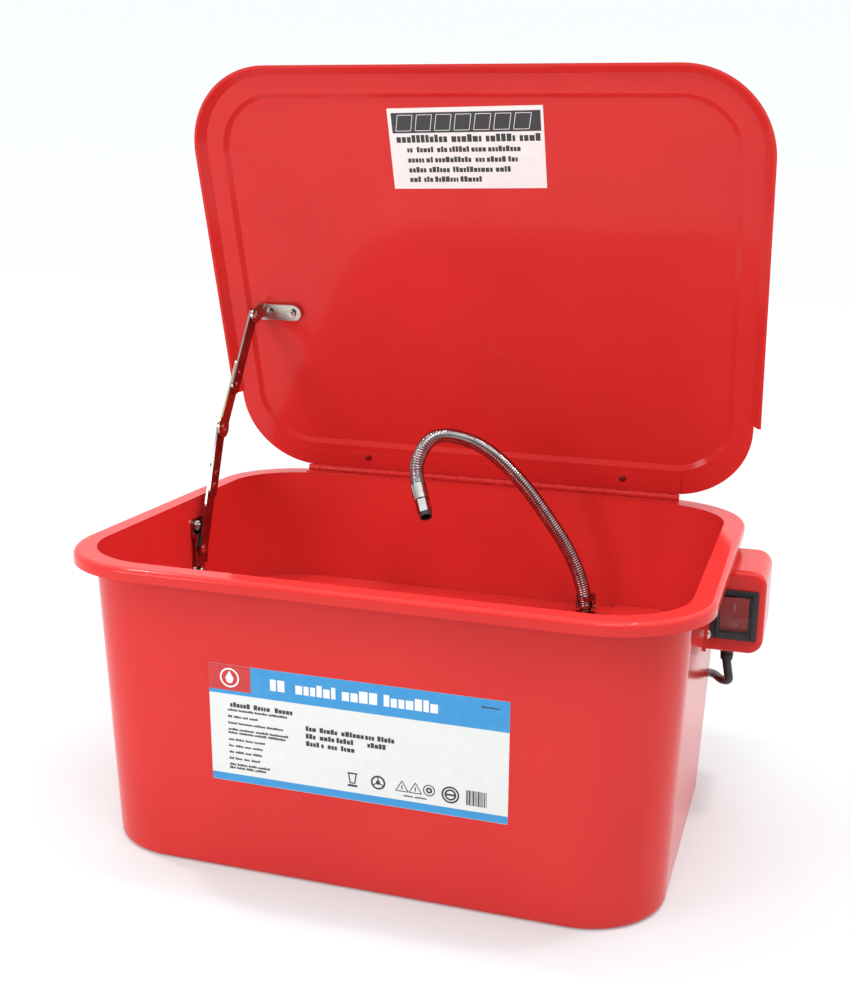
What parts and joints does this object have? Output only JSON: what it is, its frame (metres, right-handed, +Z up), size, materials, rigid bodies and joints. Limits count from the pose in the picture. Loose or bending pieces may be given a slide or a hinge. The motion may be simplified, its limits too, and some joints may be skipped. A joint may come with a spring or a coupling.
{
  "type": "parts washer tank",
  "caption": "Open steel bench tank with a hinged lid on a folding stay, a flexible metal spout over a drain shelf, a side switch box and a mains cord.",
  "frame": {"origin": "middle of the tank's flat base, on the surface it stands on", "axes": "+Z up, -Y the front with the large label, +X the side with the switch box"},
  "size_m": [0.4889, 0.4855, 0.5733],
  "materials": {
    "red_enamel": "gloss",
    "printed_label": "satin",
    "zinc": "satin",
    "chrome": "polished",
    "brass": "satin",
    "black_rubber": "matte",
    "cord_jacket": "satin",
    "black_plastic": "satin",
    "red_rocker": "gloss",
    "clear_cover": "gloss"
  },
  "bodies": {
    "tank": {"tank_shell": "red_enamel", "shelf": "red_enamel", "shelf_brackets": "red_enamel", "pump_cover": "red_enamel", "switch_box": "red_enamel", "hinge_rim_leaf": "red_enamel", "front_label": "printed_label", "hinge_pin": "zinc", "wall_bracket": "zinc", "wall_bracket_bolts": "zinc", "box_screws": "zinc", "riser_pipe": "brass", "cable_gland": "black_rubber", "strain_relief": "black_rubber", "mains_cord": "cord_jacket", "cord_tail": "cord_jacket", "cord_coil": "cord_jacket", "pump_cable": "cord_jacket", "plug_body": "black_plastic", "plug_pins": "brass", "pump_strainer": "black_plastic", "pump_housing": "black_plastic", "switch_housing": "black_plastic", "switch_terminals": "brass", "switch_shield": "clear_cover"},
    "lid": {"lid_panel": "red_enamel", "lid_label": "printed_label", "hinge_lid_leaf": "red_enamel", "hinge_screws": "red_enamel", "lid_bracket": "zinc", "lid_bracket_screws": "zinc"},
    "upper_arm": {"stay_upper_strip": "zinc", "stay_fusible_strip": "zinc", "stay_upper_rivets": "zinc"},
    "lower_arm": {"stay_lower_strip": "zinc", "stay_foot_strip": "zinc", "stay_lower_rivets": "zinc"},
    "swivel": {"spout_swivel": "zinc"},
    "spout": {"spout_hose": "chrome", "spout_yoke": "zinc", "nozzle_collar": "chrome", "nozzle_tip": "black_rubber"},
    "rocker": {"switch_rocker": "red_rocker"},
    "impeller": {"pump_impeller": "black_plastic"}
  },
  "joints": [
    {"name": "lid_hinge", "type": "hinge", "parent": "tank", "child": "lid", "pos_m": [0, 0.1745, 0.228], "axis": [1, 0, 0], "range_deg": [0, 71.6]},
    {"name": "stay_upper", "type": "hinge", "parent": "lid", "child": "upper_arm", "pos_m": [-0.2, 0.1186, 0.3703], "axis": [1, 0, 0], "range_deg": [-108, 0]},
    {"name": "stay_lower", "type": "hinge", "parent": "tank", "child": "lower_arm", "pos_m": [-0.207, 0.027, 0.182], "axis": [1, 0, 0], "range_deg": [0, 110]},
    {"name": "spout_swivel", "type": "hinge", "parent": "tank", "child": "swivel", "pos_m": [0.102, 0.129, 0.1375], "axis": [0, 0, 1], "range_deg": [-20, 45]},
    {"name": "spout_fold", "type": "hinge", "parent": "swivel", "child": "spout", "pos_m": [0.102, 0.129, 0.1375], "axis": [1, 0, 0], "range_deg": [0, 42]},
    {"name": "power_switch", "type": "hinge", "parent": "tank", "child": "rocker", "pos_m": [0.232, 0.0335, 0.1725], "axis": [-1, 0, 0], "range_deg": [0, 18]},
    {"name": "impeller_spin", "type": "hinge", "parent": "tank", "child": "impeller", "pos_m": [0.102, 0.106, 0.028], "axis": [0, 0, 1], "continuous": true}
  ],
  "couplings": [
    {"joint": "stay_upper", "follows": "lid_hinge", "ratio": -1.4997},
    {"joint": "stay_lower", "follows": "lid_hinge", "ratio": 1.5228},
    {"joint": "spout_fold", "follows": "lid_hinge", "ratio": 0.57263}
  ]
}
